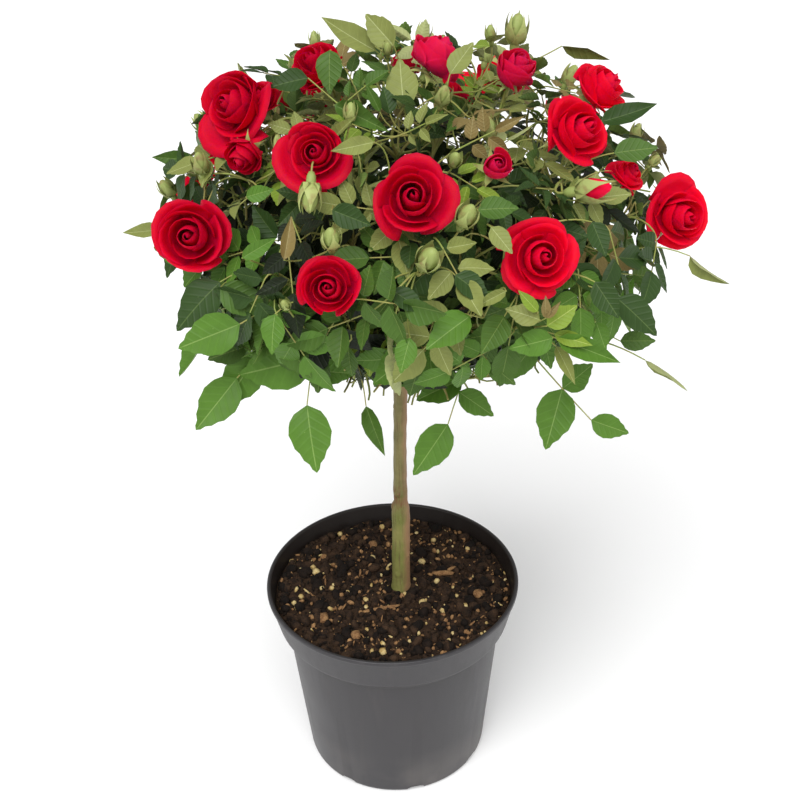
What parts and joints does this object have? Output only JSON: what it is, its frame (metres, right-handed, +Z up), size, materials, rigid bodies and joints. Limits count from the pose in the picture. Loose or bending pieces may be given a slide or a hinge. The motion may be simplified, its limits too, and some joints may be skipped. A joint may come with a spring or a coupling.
{
  "type": "potted standard rose",
  "caption": "Miniature rose grown as a standard: a bare upright stem in a tapered plastic pot, carrying a round leafy crown with red double blooms and green buds.",
  "frame": {"origin": "middle of the pot's flat underside, on the surface that the pot stands on", "axes": "+Z up along the pot's axis, -Y towards the side that the picture shows, +X to the right as seen from there"},
  "size_m": [0.2406, 0.2354, 0.3891],
  "materials": {
    "pot_plastic": "satin",
    "soil": "matte",
    "bark": "satin",
    "foliage": "satin"
  },
  "bodies": {
    "root": {"pot": "pot_plastic", "soil": "soil", "trunk": "bark", "bough_front": "bark", "foliage_front": "foliage", "bough_right": "bark", "foliage_right": "foliage", "bough_back_right": "bark", "foliage_back_right": "foliage", "bough_back_left": "bark", "foliage_back_left": "foliage", "bough_left": "bark", "foliage_left": "foliage", "bough_top": "bark", "foliage_top": "foliage"}
  },
  "joints": []
}
